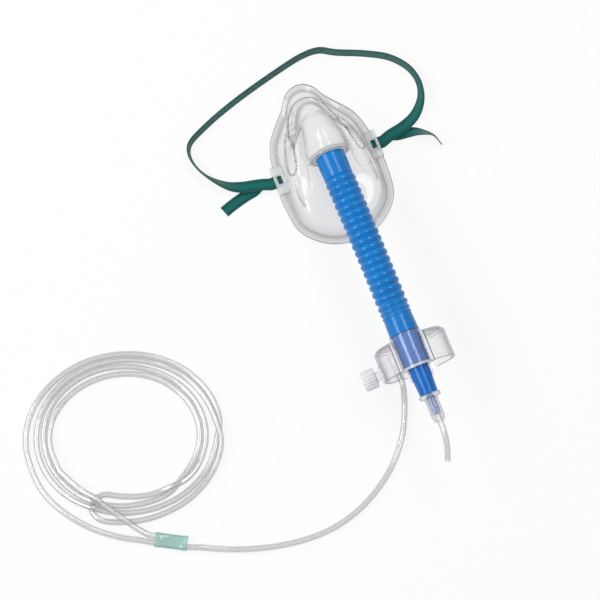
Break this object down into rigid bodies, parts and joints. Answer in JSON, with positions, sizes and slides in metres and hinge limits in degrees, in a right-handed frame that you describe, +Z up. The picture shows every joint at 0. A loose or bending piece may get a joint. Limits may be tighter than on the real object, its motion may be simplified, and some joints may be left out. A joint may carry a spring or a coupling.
{
  "type": "oxygen face mask",
  "caption": "Clear air-entrainment oxygen face mask with elastic head strap, blue corrugated hose, clear hood with capped side port, blue diluter and coiled supply tubing",
  "frame": {"origin": "bottom centre of the box round the object without its tubing, on the surface that it lies on", "axes": "+Z up from the table; +Y along the hose, from the hood to the nose of the mask; +X to the right of the hose"},
  "size_m": [0.4732, 0.4295, 0.0738],
  "materials": {
    "clear_pvc": "soft clear moulded vinyl",
    "clear_hard": "hard clear moulded plastic",
    "clear_tubing": "clear extruded vinyl tubing",
    "blue_hose": "satin blue blow-moulded plastic",
    "blue_moulded": "smooth blue moulded plastic",
    "green_elastic": "woven elastic",
    "green_clear": "translucent green plastic"
  },
  "bodies": {
    "mask_set": {"mask_shell": "clear_pvc", "head_strap": "green_elastic", "corrugated_hose": "blue_hose", "entrainment_hood": "clear_hard", "venturi_diluter": "blue_moulded", "supply_connector": "clear_hard", "supply_tube_stub": "clear_tubing", "tubing_end_connector": "clear_hard", "tubing_lead": "clear_tubing", "tubing_return": "clear_tubing", "tubing_coil": "clear_tubing", "tubing_sleeve": "green_clear"},
    "cap": {"hood_port_cap": "clear_hard"}
  },
  "joints": [
    {"name": "cap_turn", "type": "hinge", "parent": "mask_set", "child": "cap", "pos_m": [0.00719, -0.12654, 0.0345], "axis": [-0.9877, 0, -0.1564], "continuous": true}
  ]
}
